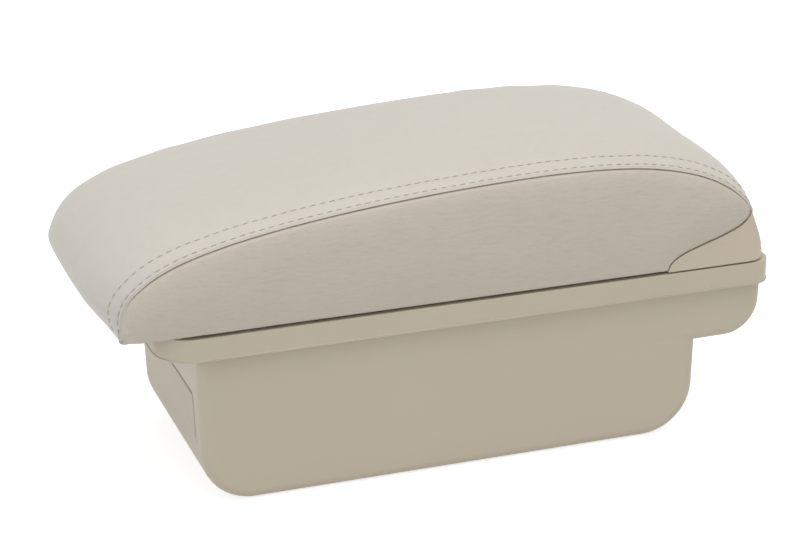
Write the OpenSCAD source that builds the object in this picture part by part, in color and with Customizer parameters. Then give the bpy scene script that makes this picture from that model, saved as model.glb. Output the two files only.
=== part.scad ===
// Car centre armrest: a padded lid that slides on a hinged carrier, over a stepped storage box.
// X runs along the car with the rear at +X, Y runs across it and Z is up. The origin is the centre
// of the floor screw pattern, on the underside of the box. Sizes are in millimetres.

/* [Storage box] */
// Distance of the front wall behind the rim's front edge
box_front_in = 16.3; // [14:0.1:24]
// Distance of the raised part's rear wall inside the rim's rear edge
box_rear_in = 3; // [3:0.1:6]
// Distance of the box's sides inside the rim's sides, at the top
box_side_in = 3.2; // [3:0.1:8]
// Length of the raised part, behind the deep part
step_len = 31.5; // [26:0.5:40]
// How much narrower each side, and how much shorter the front, is at the floor
box_draft = 2; // [0.5:0.25:4]
// Height of the box, to the top of its flange
box_h = 79.2; // [74:0.2:90]
// Underside of the raised rear part
step_z = 45; // [40:0.5:54]
// Wall and floor thickness
wall = 2.4; // [1.8:0.1:3.2]
// Radius under the front wall
front_r = 23; // [16:0.5:28]
// Radius under the deep part's rear wall
rear_r = 24; // [16:0.5:28]
// Radius under the raised part's rear wall
step_r = 17; // [10:0.5:20]
// Radius along the bottom side edges
edge_r = 5; // [4:0.25:7]
// Radius of the upright corners at the top
corner_r = 4.5; // [4:0.25:10]
// Fillet between the deep rear wall and the raised part
step_fillet = 2.5; // [1:0.5:5]
// Thickness of the flange that carries the rim
flange_t = 3; // [2:0.2:4]
// Width of the slit in the front wall
slit_w = 1.5; // [0.8:0.1:2]
// Height of the slit's level leg
slit_top = 49.2; // [40:0.2:54]
// Lower end of the slit's upright leg
slit_bottom = 28.4; // [24:0.2:34]
// Distance of the slit's upright leg from the middle
slit_side = 40.5; // [30:0.5:44]
// How far the slit's level leg runs past the middle
slit_past = 6; // [0:0.5:20]
// Bend radius of the slit
slit_bend = 2; // [1.5:0.25:5]

/* [Floor screws] */
// Spacing of the floor holes along the box
floor_screw_dx = 124; // [100:1:140]
// Spacing of the floor holes across the box
floor_screw_dy = 60; // [40:1:76]
// Radius of the floor holes
floor_hole_r = 2.25; // [1.6:0.05:3]
// Radius of the rubber discs let into the underside
disc_r = 7; // [5:0.5:9]
// Depth of their recesses
disc_recess = 1; // [0.6:0.1:1.4]
// How far the discs stand out of the underside
disc_proud = 0.2; // [0.1:0.05:0.4]

/* [Rim frame] */
// Front edge of the rim, ahead of the screw pattern
rim_front = 126.3; // [124:0.1:130]
// Rear edge of the rim, behind the screw pattern
rim_rear = 160; // [159:0.5:164]
// Half width of the rim and of the lid
rim_half_w = 58; // [57:0.5:62]
// Height of the rim's outer face
rim_drop = 10.7; // [8:0.1:14]
// Thickness of the rim's top
rim_top_t = 3; // [2.4:0.1:4]
// Thickness of the rim's outer skirt
rim_skirt_t = 2.4; // [1.8:0.1:3]
// Corner radius at the front
rim_front_r = 17; // [12:0.5:22]
// Corner radius at the rear
rim_rear_r = 9; // [6:0.5:12]
// How far the bead along the bottom edge stands out
rim_bead = 0.4; // [0.3:0.1:1]
// Height of that bead
rim_bead_h = 0.8; // [0.6:0.1:2]
// Width of the ledge in front of the opening
ledge_front = 27.3; // [25:0.1:32]
// Width of the ledge behind the opening
ledge_rear = 17; // [16.5:0.1:22]
// Width of the ledge beside the opening
ledge_side = 11; // [10.5:0.1:14]
// Corner radius of the opening
opening_r = 2.5; // [1:0.5:8]
// Thickness of the lip round the opening
opening_lip_t = 2.2; // [1.6:0.1:2.4]
// How far that lip hangs down
opening_lip_h = 5; // [3:0.5:8]

/* [Rim screws and bumpers] */
// Radius of the self-tapping rim screws
rim_screw_r = 1.6; // [1.2:0.1:1.8]
// Length of the rim screws
rim_screw_len = 9; // [7:0.5:9.5]
// Radius of their countersunk heads
rim_head_r = 3.4; // [3:0.1:3.8]
// Radius of the bosses they bite into
rim_boss_r = 4.2; // [3.6:0.1:4.4]
// Distance of the front rim screws behind the rim's front edge
rim_screw_front_in = 10.3; // [9:0.1:11]
// Distance of the front rim screws inside the rim's sides
rim_screw_side_in = 16; // [14:0.5:22]
// Inset of the rear rim screws from the inner faces of the box
rim_screw_inset = 3.8; // [3.6:0.1:4]
// Height of the rear bosses, which grow out of the box's corners
rear_boss_h = 17; // [12:1:18]
// Radius of the rubber bumpers
bumper_r = 4; // [3:0.25:5]
// Depth of the bumper pockets
bumper_pocket = 1.2; // [0.8:0.1:1.8]
// Distance of the bumpers inside the rim's sides
bumper_side_in = 29; // [26:0.5:31]

/* [Hinge] */
// Distance of the hinge axis behind the rim
hinge_back = 1.6; // [1.4:0.1:2.2]
// Height of the hinge axis above the rim
hinge_up = 4.2; // [4:0.1:5]
// Radius of the hinge barrel
barrel_r = 3.6; // [3.2:0.1:3.8]
// Radius of the hinge pin
pin_r = 1.5; // [1:0.05:1.8]
// Running clearance round the pin in the lid's knuckles
pin_clear = 0.05; // [0.02:0.01:0.08]
// Length of the pin and of the whole hinge
hinge_len = 40; // [34:1:42]
// Side gap between neighbouring knuckles
knuckle_gap = 0.3; // [0.2:0.05:0.5]
// Angle at which the lid's heels meet the rim
lid_open = 96; // [90:1:100]

/* [Lid carrier] */
// Gap between the rim and the carrier plate
carrier_gap = 1.2; // [1:0.1:2]
// Thickness of the carrier plate
plate_t = 2.4; // [2:0.1:3]
// Distance of the carrier plate's front end behind the rim's front edge
plate_front_in = 3.3; // [2:0.1:6]
// Distance of the carrier plate's sides inside the rim's sides
plate_side_in = 9; // [7:0.1:11]
// Distance of the guide rails' front ends behind the plate's
rail_front_in = 13; // [12.5:0.5:33]
// Gap between the guide rails and the rear cover
rail_rear_gap = 7.6; // [5.6:0.1:28]
// Distance of the guide rails' webs inside the plate's sides
rail_side_in = 11; // [10.5:0.5:15]
// Thickness of the rails' webs and flanges
rail_t = 2.2; // [1.6:0.1:2.6]
// Height of the rails above the plate
rail_h = 6.2; // [5.6:0.1:8]
// Overhang of the rails' flanges
rail_lip = 4.8; // [3:0.1:5]
// Thickness of the felt strips on the rails
felt_t = 0.6; // [0.4:0.1:1]
// Sliding gap between the felt and the pad's base
felt_gap = 0.1; // [0.05:0.05:0.3]
// Thickness of the lining under the carrier plate
lining_t = 0.8; // [0.5:0.1:1.2]
// Rear face of the end stop rib, ahead of the screw pattern
stop_rib = 0.6; // [0:0.5:20]
// Thickness of the end stop rib
stop_t = 2.8; // [2:0.2:4]
// Half width of the end stop rib
stop_half_w = 8; // [5:0.5:12]
// Length of the catch magnet across the lid
magnet_w = 18; // [12:0.5:24]
// Length of the catch magnet along the lid
magnet_l = 8; // [5:0.5:8]
// Thickness of the catch magnet
magnet_t = 3; // [2:0.2:4]
// Thickness of the steel catch plate
catch_t = 1.2; // [0.8:0.1:1.6]

/* [Rear cover] */
// Length of the cover's foot
cover_len = 49.6; // [46:0.2:50]
// Height of the cover above its foot
cover_h = 24.5; // [22:0.5:26]
// How far the cover's rear face leans forward at the top
cover_lean = 9.4; // [6:0.2:12]
// Distance of the cover's rear foot from the rim's rear edge
cover_inset = 2.8; // [2:0.1:4]
// Wall thickness of the cover
cover_wall = 2.2; // [1.6:0.1:2.6]
// Gap between the rim and the cover
cover_gap = 0.9; // [0.6:0.1:1.2]
// Radius of the cover screws
cover_screw_r = 1.4; // [1:0.1:1.7]
// Length of the cover screws
cover_screw_len = 8; // [6:0.5:8.5]

/* [Pad] */
// Gap between the rim and the pad
pad_gap = 1.4; // [1.2:0.1:2.2]
// Height of the side seam above the pad's lower edge
seam_rise = 53.9; // [44:0.1:60]
// Highest point of the seam, behind the screw pattern
seam_apex = 47; // [40:1:60]
// How far the seam's foot stands ahead of the rim
pad_overhang = 15.9; // [12:0.1:24]
// Height of the crown above the seam
crown_h = 8.6; // [5:0.2:16]
// Swell of the front panel ahead of the seam
front_swell = 14.6; // [6:0.2:18]
// Swell of the rear edge behind the seam
rear_swell = 5.4; // [2:0.2:8]
// Height over which the front panel tucks in at its foot
foot_tuck = 14; // [8:1:20]
// Swell of the side panels
side_swell = 1.2; // [0:0.2:3]
// Thickness of the leather cover
leather_t = 1.2; // [0.8:0.1:1.6]
// Width of the leather turned in under the base
turn_in = 4.5; // [3:0.5:5]
// Front corner radius of the pad
pad_corner_r = 13; // [10:0.5:16]
// Parting gap between the pad and the rear cover
parting_gap = 0.5; // [0.4:0.05:0.8]
// Thickness of the base board
base_t = 2.4; // [1.8:0.1:3.2]
// Thickness of the base's skirt
skirt_t = 3; // [2:0.1:3.4]
// How far the pad slides forward
pad_travel = 60; // [20:1:70]
// Height of the slide runners' lips
runner_lip_h = 2.4; // [1.8:0.1:2.6]
// Radius of the runner screws
runner_screw_r = 1.2; // [0.9:0.1:1.5]
// Width of a staple
staple_w = 8; // [6:0.5:10]
// Thickness of a staple's wire
staple_t = 0.4; // [0.3:0.05:0.5]

/* [Mats] */
// Thickness of the rubber mats in the box
mat_t = 1.6; // [1:0.1:2.4]

/* [Hidden] */
$fn = 48;

// Hair gap between parts that are fixed together, and overshoot of a cut past its face
fit = 0.1;
cut = 1;

// Colours of the real finishes
plastic = "#b3aa9b";
leather = "#cfcabf";
rubber = "#4a4844";
steel = "#b9bbbd";

// Places that follow from the rim's edges
box_front = rim_front - box_front_in;
step_rear = rim_rear - box_rear_in;
deep_rear = step_rear - step_len;
box_half_w = rim_half_w - box_side_in;
opening_front = rim_front - ledge_front;
opening_rear = rim_rear - ledge_rear;
opening_half_w = rim_half_w - ledge_side;
rim_screw_front = rim_front - rim_screw_front_in;
rim_screw_front_y = rim_half_w - rim_screw_side_in;
bumper_y = rim_half_w - bumper_side_in;
plate_front = rim_front - plate_front_in;
plate_half_w = rim_half_w - plate_side_in;
rail_front = plate_front - rail_front_in;
rail_y = plate_half_w - rail_side_in;
seam_foot = rim_front + pad_overhang;

// Heights that follow from the sizes above
rim_top = box_h + rim_top_t;
rim_bottom = rim_top - rim_drop;
hinge_x = rim_rear + hinge_back;
hinge_z = rim_top + hinge_up;
plate_z = rim_top + carrier_gap;
plate_top = plate_z + plate_t;
rail_top = plate_top + rail_h;
board_z = rail_top + felt_t + felt_gap;
board_top = board_z + base_t;
pad_z = rim_top + pad_gap;
cover_z = rim_top + cover_gap;
cover_rear = rim_rear - cover_inset;
cover_nose = cover_rear - cover_len;
rail_rear = cover_nose - rail_rear_gap;
skirt_z = pad_z + leather_t;

// Flat part of the underside, between the radii under the front and the rear wall
flat_start = front_r - box_front + box_draft;
flat_end = deep_rear - rear_r;

// Half width of the box's side at a height above the foot radius
floor_half_w = box_half_w - box_draft;
function side_at(z) = floor_half_w + box_draft * (z - front_r) / (box_h - front_r);

// Points of a cubic curve through four control points
function bezier(p, n, first = 0) = [for (i = [first:n]) let (t = i / n, s = 1 - t)
    s * s * s * p[0] + 3 * s * s * t * p[1] + 3 * s * t * t * p[2] + t * t * t * p[3]];

// Outline moved sideways by d, to the left of its direction
function shift_line(p, d) = [for (i = [0:len(p) - 1])
    let (a = p[max(0, i - 1)], b = p[min(len(p) - 1, i + 1)], v = b - a)
    p[i] + d * [-v[1], v[0]] / norm(v)];

// Parting line between the pad and the rear cover: up from the nose, along, and up again at the rear
part_end = [cover_rear - cover_lean, cover_z + cover_h];
part_knee = [cover_nose + 0.39 * (part_end[0] - cover_nose), cover_z + 0.43 * cover_h];
part_rise = part_end - part_knee;
parting = concat(
    bezier([[cover_nose, cover_z], [cover_nose + 0.6, cover_z + 0.18 * cover_h],
        [cover_nose + 4.2, cover_z + 0.29 * cover_h], part_knee], 8),
    bezier([part_knee, part_knee + [0.433 * part_rise[0], 0.258 * part_rise[1]],
        part_end - [0.02 * part_rise[0], 0.523 * part_rise[1]], part_end], 12, 1));
// Rear face of the cover, from the end of the parting line down to the rim
cover_back = bezier([part_end, part_end + [0.25 * cover_lean, -0.285 * cover_h],
    [cover_rear - 0.32 * cover_lean, cover_z + 0.39 * cover_h], [cover_rear, cover_z]], 8, 1);

// Seam profile in side view: two quarter ovals that meet at the highest point
front_flat = 1.51;
front_blunt = 3.65;
rear_flat = 2.65;
rear_blunt = 2.59;
rear_stop = 21.6;
seam_steps_front = 24;
seam_steps_middle = 7;
seam_steps_rear = 12;
// Close steps behind the lower front edge of the parting line, which rises steeply there
nose_steps = [0, 0.35, 0.8, 1.5, 2.6, 4.4, 7];
seam_end_x = part_end[0] + 0.1;
seam_front_len = seam_apex + seam_foot;
seam_rear_len = (seam_end_x - seam_apex) / pow(cos(rear_stop), 2 / rear_flat);
function angle_at(x) = 180 - acos(pow((x - seam_apex) / seam_rear_len, rear_flat / 2));
part_edge = shift_line(parting, parting_gap);
nose_x = part_edge[0][0];
past_nose = angle_at(nose_x + nose_steps[len(nose_steps) - 1]);
seam_angles = concat([for (i = [0:seam_steps_front]) max(0.02, 90 * pow(i / seam_steps_front, 1.6))],
    [for (i = [1:seam_steps_middle]) angle_at(seam_apex + (nose_x - 1 - seam_apex) * i / seam_steps_middle)],
    [for (d = nose_steps) angle_at(nose_x + d)],
    [for (i = [1:seam_steps_rear]) past_nose + (180 - rear_stop - past_nose) * i / seam_steps_rear]);
function seam_point(a) = a <= 90
    ? [seam_apex - seam_front_len * pow(cos(a), 2 / front_flat),
        pad_z + seam_rise * pow(sin(a), 2 / front_blunt)]
    : [seam_apex + seam_rear_len * pow(cos(180 - a), 2 / rear_flat),
        pad_z + seam_rise * pow(sin(a), 2 / rear_blunt)];
seam = [for (a = seam_angles) seam_point(a)];
seam_normal = [for (i = [0:len(seam) - 1])
    let (v = seam[min(len(seam) - 1, i + 1)] - seam[max(0, i - 1)]) [-v[1], v[0]] / norm(v)];

// Swell of the cover outside the seam, along the seam, and the share of it that is left at the front foot
foot_share = 0.08;
function swell(i) = let (rise = (seam[i][1] - pad_z) / seam_rise)
    seam_angles[i] > 90
    ? rear_swell + (crown_h - rear_swell) * max(0, (rise - 0.45) / 0.55)
    : (front_swell + (crown_h - front_swell) * sin(seam_angles[i]))
        * (foot_share + (1 - foot_share) * min(1, rise * seam_rise / foot_tuck));

// Half width of the pad at a place along it, with its rounded corners
pad_front = seam_foot + 3.6;
pad_rear = seam_end_x + 3.6;
seam_out = 0.6;
function arc_in(d, r) = r - sqrt(max(0, r * r - d * d));
function pad_half(x) = rim_half_w
    - arc_in(max(0, pad_corner_r - pad_front - x), pad_corner_r)
    - arc_in(max(0, x - pad_rear + rim_rear_r), rim_rear_r);
// Height of the pad's lower edge at a place along it
function pad_floor(x) = x < nose_x ? pad_z : max(pad_z, lookup(x, part_edge));

// One ring of the pad's skin, moved in by inset: up one side, over the crown and down the other side
side_steps = 4;
crown_steps = 16;
crown_flat = 4.6;
// Place across the crown, from -1 to 1, with the points closer together near the seams
function across(j) = sin(90 * (2 * j / crown_steps - 1));
function ring_seam(i, inset) = seam[i] - inset * seam_normal[i];
function ring_half(i, inset) = pad_half(seam[i][0]) + seam_out - inset;
function ring_foot(i, inset) = min(pad_floor(ring_seam(i, inset)[0]), ring_seam(i, inset)[1] - 0.3);
function ring_side(i, inset, foot, side) = let (q = ring_seam(i, inset), tall = min(1, (q[1] - foot) / 40),
    low = pad_half(q[0]) - inset, high = ring_half(i, inset))
    [for (j = [0:side_steps]) let (f = j / side_steps)
        [q[0], side * (low + (high - low) * f + side_swell * tall * 4 * f * (1 - f)),
            foot + (q[1] - foot) * f]];
function ring_crown(i, inset) = [for (j = [0:crown_steps])
    let (v = across(j), p = ring_seam(i, inset) + swell(i) * (1 - pow(abs(v), crown_flat)) * seam_normal[i])
    [p[0], ring_half(i, inset) * v, p[1]]];
function inner_points(p) = [for (j = [1:len(p) - 2]) p[j]];
function backward(p) = [for (i = [len(p) - 1:-1:0]) p[i]];

// Closed solid inside the pad's skin, moved in by inset
module pad_form(inset) {
    n = len(seam);
    k = 2 * side_steps + crown_steps + 1;
    half = (k - 1) / 2;
    points = [for (i = [0:n - 1]) let (foot = ring_foot(i, inset))
        each concat(ring_side(i, inset, foot, -1), inner_points(ring_crown(i, inset)),
            backward(ring_side(i, inset, foot, 1)))];
    skin = [for (i = [0:n - 2], j = [0:k - 2]) let (a = i * k + j, b = a + k)
        each [[a, a + 1, b + 1], [a, b + 1, b]]];
    under = [for (i = [0:n - 2]) let (a = i * k, b = a + k)
        each [[a, b, b + k - 1], [a, b + k - 1, a + k - 1]]];
    ends = [for (j = [0:half - 1]) let (a = j, b = k - 1 - j, c = (n - 1) * k)
        each [[a, b, b - 1], [c + a, c + b - 1, c + b],
            if (j < half - 1) [a, b - 1, a + 1],
            if (j < half - 1) [c + a, c + a + 1, c + b - 1]]];
    polyhedron(points, concat(skin, under, ends), 4);
}

// Closed sheet between two grids of points, each a list of rows of the same length
module sheet(outer, inner) {
    n = len(outer);
    m = len(outer[0]);
    d = n * m;
    points = concat([for (row = outer) each row], [for (row = inner) each row]);
    faces = [for (i = [0:n - 2], j = [0:m - 2]) let (a = i * m + j, b = a + m)
        each [[a, a + 1, b + 1], [a, b + 1, b], [a + d, b + 1 + d, a + 1 + d], [a + d, b + d, b + 1 + d]]];
    first_side = [for (i = [0:n - 2]) let (a = i * m, b = a + m) each [[a, b, b + d], [a, b + d, a + d]]];
    last_side = [for (i = [0:n - 2]) let (a = i * m + m - 1, b = a + m)
        each [[b, a, a + d], [b, a + d, b + d]]];
    row_ends = [for (j = [0:m - 2]) let (a = j, c = (n - 1) * m + j)
        each [[a + 1, a, a + d], [a + 1, a + d, a + 1 + d], [c, c + 1, c + 1 + d], [c, c + 1 + d, c + d]]];
    polyhedron(points, concat(faces, first_side, last_side, row_ends), 4);
}

// Plan outline with corner radius rf in front and rr behind
module plan(x0, x1, half_w, rf, rr) {
    mid = (x0 + x1) / 2;
    translate([x0 + rf, -half_w]) square([x1 - rr - x0 - rf, 2 * half_w]);
    translate([x0, -(half_w - rf)]) square([mid - x0, 2 * (half_w - rf)]);
    translate([mid, -(half_w - rr)]) square([x1 - mid, 2 * (half_w - rr)]);
    for (s = [-1, 1]) {
        translate([x0 + rf, s * (half_w - rf)]) circle(rf);
        translate([x1 - rr, s * (half_w - rr)]) circle(rr);
    }
}

module slab(z, h, x0, x1, half_w, rf, rr) {
    translate([0, 0, z]) linear_extrude(h) plan(x0, x1, half_w, rf, rr);
}

// Side view outline, extruded from y0 to y1
module side_extrude(y0, y1) {
    translate([0, y1, 0]) rotate([90, 0, 0]) linear_extrude(y1 - y0) children();
}

// Lower half of a disc across the box, with a rounded rim, as at the foot of a wall
module coin(x, z, r, half_w, er) {
    translate([x, 0, z]) mirror([0, 0, 1]) rotate([90, 0, 0]) rotate_extrude(angle = 180, $fn = 40) {
        translate([0, -half_w]) square([r - er, 2 * half_w]);
        translate([0, -(half_w - er)]) square([r, 2 * (half_w - er)]);
        for (s = [-1, 1]) translate([r - er, s * (half_w - er)]) circle(er, $fn = 24);
    }
}

// Form of the box, outside at inset 0 and inside at the wall thickness
module box_form(inset) {
    er = edge_r - inset;
    top_h = inset > 0 ? cut : 0;
    sr = step_z + step_r;
    hull() {
        coin(flat_start, front_r, front_r - inset, floor_half_w - inset, er);
        coin(flat_end, rear_r, rear_r - inset, side_at(rear_r) - inset, er);
        slab(box_h - cut, cut + top_h, inset - box_front, deep_rear - inset, box_half_w - inset,
            corner_r - inset, corner_r - inset);
    }
    hull() {
        coin(flat_end, sr, step_r - inset, side_at(sr) - inset, er);
        coin(step_rear - step_r, sr, step_r - inset, side_at(sr) - inset, er);
        slab(box_h - cut, cut + top_h, deep_rear - 2 * rear_r, step_rear - inset,
            box_half_w - inset, corner_r - inset, corner_r - inset);
    }
}

// Places of the screws
floor_screws = [for (a = [-1, 1], b = [-1, 1]) [a * floor_screw_dx / 2, b * floor_screw_dy / 2]];
rim_screw_rear = step_rear - wall - rim_screw_inset;
rim_screw_rear_y = box_half_w - wall - rim_screw_inset;
rim_screw_spots = [for (s = [-1, 1]) each [[-rim_screw_front, s * rim_screw_front_y],
    [rim_screw_rear, s * rim_screw_rear_y]]];
rim_boss_drop = 6.8;
disc_y = floor_half_w - edge_r - disc_r - 2;
disc_spots = [for (s = [-1, 1]) each [[flat_start + disc_r + 3, s * disc_y],
    [flat_end - disc_r - 3, s * disc_y]]];

// L-shaped slit of width w, seen from the front
module slit_outline(w) {
    y0 = -slit_side;
    translate([y0 - w / 2, slit_bottom]) square([w, slit_top - slit_bend - slit_bottom]);
    translate([y0, slit_bottom]) circle(w / 2);
    translate([y0 + slit_bend, slit_top - w / 2]) square([slit_side - slit_bend + slit_past, w]);
    translate([slit_past, slit_top]) circle(w / 2);
    translate([y0 + slit_bend, slit_top - slit_bend]) intersection() {
        difference() {
            circle(slit_bend + w / 2);
            circle(slit_bend - w / 2);
        }
        translate([-2 * slit_bend, 0]) square(2 * slit_bend);
    }
}

module storage_box() {
    flange_in = rim_skirt_t + fit;
    color(plastic) difference() {
        union() {
            difference() {
                union() {
                    box_form(0);
                    slab(box_h - flange_t, flange_t, flange_in - rim_front, rim_rear - flange_in,
                        rim_half_w - flange_in, rim_front_r - flange_in, rim_rear_r - flange_in);
                    translate([deep_rear - fit, -side_at(step_z) + edge_r, step_z - step_fillet])
                        cube([step_fillet + fit, 2 * (side_at(step_z) - edge_r), step_fillet + fit]);
                }
                box_form(wall);
                slab(box_h - flange_t - cut, flange_t + 2 * cut, corner_r - box_front,
                    step_rear - corner_r, box_half_w - corner_r, corner_r / 2, corner_r / 2);
            }
            for (s = [-1, 1]) {
                translate([-rim_screw_front, s * rim_screw_front_y, box_h - rim_boss_drop])
                    cylinder(h = rim_boss_drop, r = rim_boss_r);
                translate([rim_screw_rear, s * rim_screw_rear_y, box_h - rear_boss_h])
                    cylinder(h = rear_boss_h, r = rim_boss_r);
            }
        }
        translate([deep_rear + step_fillet, box_half_w, step_z - step_fillet]) rotate([90, 0, 0])
            cylinder(h = 2 * box_half_w, r = step_fillet);
        for (p = floor_screws) translate([p[0], p[1], -cut])
            cylinder(h = wall + 2 * cut, r = floor_hole_r);
        for (p = disc_spots) translate([p[0], p[1], -cut]) cylinder(h = disc_recess + cut, r = disc_r + fit);
        for (p = rim_screw_spots) translate([p[0], p[1], box_h - rim_boss_drop - cut])
            cylinder(h = rim_boss_drop + 2 * cut, r = rim_screw_r + fit / 5);
        translate([-box_front - cut, 0, 0]) rotate([90, 0, 90]) linear_extrude(wall + box_draft + 2 * cut)
            slit_outline(slit_w);
    }
}

module anti_rattle_discs() {
    color(rubber) for (p = disc_spots) translate([p[0], p[1], -disc_proud])
        cylinder(h = disc_recess + disc_proud, r = disc_r);
}

// Knuckle ranges along the hinge: three on the rim and two on the lid
knuckle = hinge_len / 5;
rim_knuckles = [-2, 0, 2];
lid_knuckles = [-1, 1];

// Bumper places, and the catch on the front ledge
bumper_front = (plate_front + opening_front + opening_lip_t) / 2;
bumper_rear = (opening_rear + opening_lip_t + cover_rear - cover_wall) / 2;
bumper_spots = [for (s = [-1, 1]) each [[-bumper_front, s * bumper_y], [bumper_rear, s * bumper_y]]];
catch_x = (plate_front + rail_front) / 2;

module rim_frame() {
    color(plastic) difference() {
        union() {
            difference() {
                union() {
                    slab(rim_bottom, rim_drop, -rim_front, rim_rear, rim_half_w, rim_front_r, rim_rear_r);
                    slab(rim_bottom, rim_bead_h, -rim_front - rim_bead, rim_rear + rim_bead,
                        rim_half_w + rim_bead, rim_front_r + rim_bead, rim_rear_r + rim_bead);
                }
                slab(rim_bottom - cut, rim_drop - rim_top_t + cut, rim_skirt_t - rim_front,
                    rim_rear - rim_skirt_t, rim_half_w - rim_skirt_t, rim_front_r - rim_skirt_t,
                    rim_rear_r - rim_skirt_t);
            }
            slab(box_h - opening_lip_h, opening_lip_h + fit, -opening_front - opening_lip_t,
                opening_rear + opening_lip_t, opening_half_w + opening_lip_t,
                opening_r + opening_lip_t, opening_r + opening_lip_t);
            for (k = rim_knuckles) rim_knuckle(k * knuckle);
        }
        slab(rim_bottom - cut, rim_drop + 2 * cut, -opening_front, opening_rear, opening_half_w,
            opening_r, opening_r);
        for (p = rim_screw_spots) translate([p[0], p[1], box_h - cut]) {
            cylinder(h = rim_top_t + 2 * cut, r = rim_screw_r + 2 * fit);
            translate([0, 0, cut + rim_top_t - rim_head_r + rim_screw_r])
                cylinder(h = rim_head_r - rim_screw_r + fit, r1 = rim_screw_r + fit,
                    r2 = rim_head_r + 2 * fit);
        }
        for (p = bumper_spots) translate([p[0], p[1], rim_top - bumper_pocket])
            cylinder(h = bumper_pocket + cut, r = bumper_r + fit);
        translate([-catch_x, 0, rim_top - catch_t / 2 + cut / 2])
            cube([magnet_l + 2 * fit, magnet_w + 2 * fit, catch_t + cut], center = true);
        translate([hinge_x, hinge_len / 2 + cut, hinge_z]) rotate([90, 0, 0])
            cylinder(h = hinge_len + 2 * cut, r = pin_r + pin_clear / 2);
    }
}

// Knuckle that rises from the rim's rear edge, centred on y
module rim_knuckle(y) {
    side_extrude(y - knuckle / 2, y + knuckle / 2) {
        translate([hinge_x, hinge_z]) circle(barrel_r);
        polygon([[rim_rear - cut, rim_bottom + 2 * rim_bead_h], [hinge_x + barrel_r, hinge_z - 2 * barrel_r],
            [hinge_x + barrel_r, hinge_z], [hinge_x - barrel_r, hinge_z],
            [hinge_x - barrel_r, rim_top - cut], [rim_rear - cut, rim_top - cut]]);
    }
}

module rim_screws() {
    color(steel) for (p = rim_screw_spots) translate([p[0], p[1], rim_top - rim_screw_len]) difference() {
        union() {
            cylinder(h = rim_screw_len - cut, r = rim_screw_r);
            translate([0, 0, rim_screw_len - rim_head_r + rim_screw_r])
                cylinder(h = rim_head_r - rim_screw_r, r1 = rim_screw_r, r2 = rim_head_r);
        }
        cross_recess(rim_screw_len, rim_head_r);
    }
}

// Cross slot in a screw head whose top is at z
module cross_recess(z, r) {
    for (a = [0, 90]) rotate(a) translate([-r * 0.55, -r * 0.12, z - r * 0.35]) cube([r * 1.1, r * 0.24, r]);
}

// Grooves across the floor mat
mat_grooves = 9;
groove_w = 1;

module floor_mat() {
    half_w = floor_half_w - edge_r - fit;
    color(rubber) difference() {
        slab(wall, mat_t, flat_start, flat_end, half_w, corner_r, corner_r);
        for (p = floor_screws) translate([p[0], p[1], 0])
            cylinder(h = wall + mat_t + cut, r = 3 * floor_hole_r);
        for (i = [1:mat_grooves]) translate([
            flat_start + (flat_end - flat_start) * i / (mat_grooves + 1) - groove_w / 2,
            -half_w + corner_r, wall + mat_t * 0.75])
            cube([groove_w, 2 * (half_w - corner_r), mat_t]);
    }
}

module shelf_mat() {
    half_w = side_at(step_z) - edge_r - fit;
    color(rubber) slab(step_z + wall, mat_t, deep_rear - wall, step_rear - step_r, half_w, 2, 2);
}

module rim_bumpers() {
    color(rubber) for (p = bumper_spots) translate([p[0], p[1], rim_top - bumper_pocket]) {
        cylinder(h = bumper_pocket, r = bumper_r);
        cylinder(h = bumper_pocket + carrier_gap - fit, r = bumper_r - 0.5);
    }
}

module catch_plate() {
    color(steel) translate([-catch_x, 0, rim_top - catch_t / 2])
        cube([magnet_l, magnet_w, catch_t], center = true);
}

module hinge_pin() {
    color(steel) translate([hinge_x, hinge_len / 2, hinge_z]) rotate([90, 0, 0])
        cylinder(h = hinge_len, r = pin_r);
}

// Cover screws along the two sides of the cover's foot, in from the carrier plate's edges
cover_screw_in = 7;
cover_screw_y = plate_half_w - cover_screw_in;
cover_screw_spots = [for (s = [-1, 1]) each [[cover_nose + 0.36 * cover_len, s * cover_screw_y],
    [cover_rear - 0.22 * cover_len, s * cover_screw_y]]];
cover_head_r = 2 * cover_screw_r;
cover_head_h = 1.4;

// Extent of the lining under the carrier plate
lining_front = opening_front - 4;
lining_rear = cover_nose - 4;
lining_half_w = plate_half_w - 5;

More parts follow.
